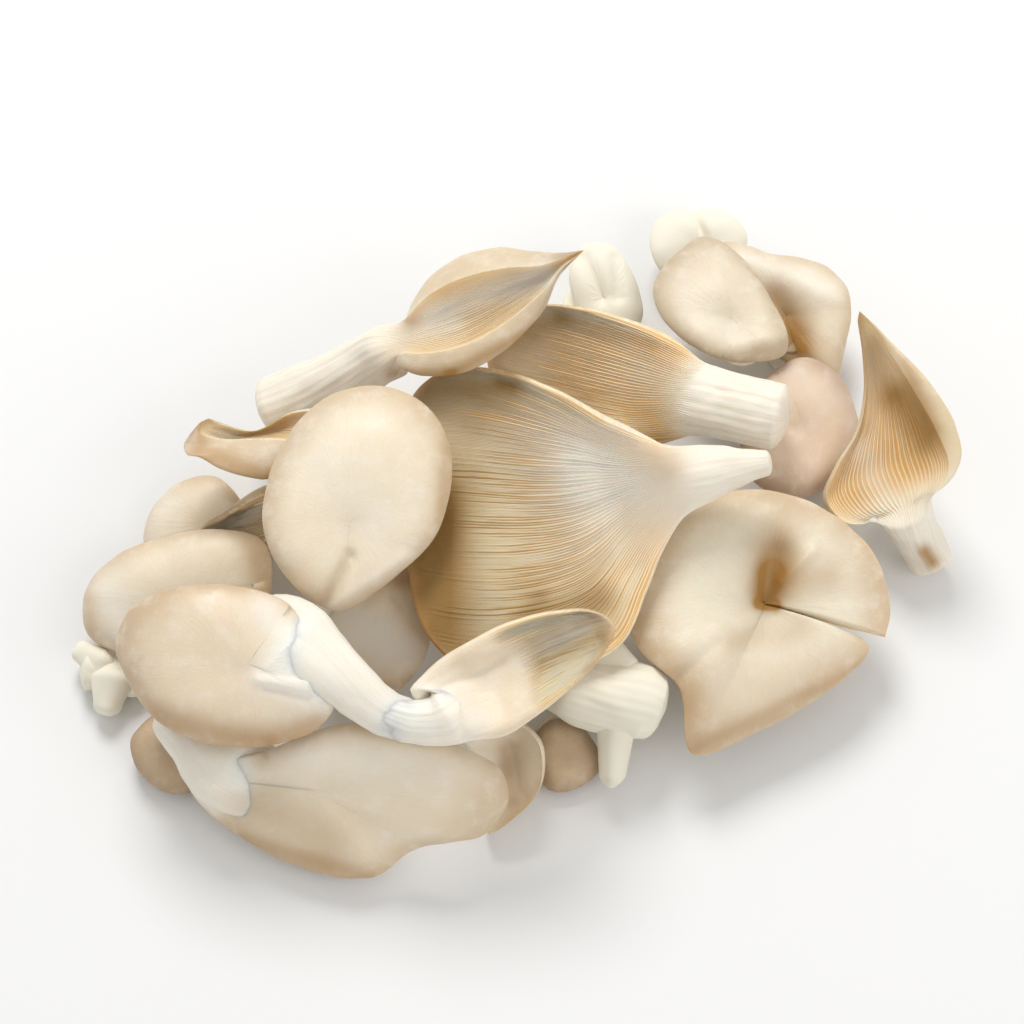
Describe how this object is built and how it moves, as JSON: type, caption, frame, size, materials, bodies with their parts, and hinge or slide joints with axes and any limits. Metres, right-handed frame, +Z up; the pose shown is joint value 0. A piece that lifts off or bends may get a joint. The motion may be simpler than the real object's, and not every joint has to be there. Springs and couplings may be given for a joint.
{
  "type": "oyster mushroom cluster",
  "caption": "Loose cluster of oyster mushrooms with smooth off-centre caps, gilled fans and short stems, lying in a low heap.",
  "frame": {"origin": "on the plane the heap lies on, under the middle of its bounding box", "axes": "+X to the heap's right along its longest side, +Y to its back, +Z up; the longest stems point to -X and +X"},
  "size_m": [0.1878, 0.1576, 0.0497],
  "materials": {
    "cap_cream": null,
    "cap_greige": null,
    "gill_cream": null,
    "flesh_white": null
  },
  "bodies": {
    "root": {"cap_big_left": "cap_cream", "cap_shaded": "cap_greige", "cap_left_back": "cap_cream", "wedge": "gill_cream", "stub": "flesh_white", "cap_left": "cap_cream", "cap_brown": "cap_greige", "curl_bottom": "cap_cream", "cap_bottom": "cap_cream", "cap_top_white": "flesh_white", "cap_bilobed": "flesh_white", "cap_right_back": "cap_cream", "cap_pink": "cap_greige", "half_right": "gill_cream", "cap_oval_right": "cap_cream", "stem_knob": "flesh_white", "cap_split": "cap_cream", "cap_centre": "cap_cream", "fan_upper": "gill_cream", "fan_large": "gill_cream", "curl_top": "cap_greige", "curl_left": "cap_greige", "cap_oval": "cap_cream"}
  },
  "joints": []
}
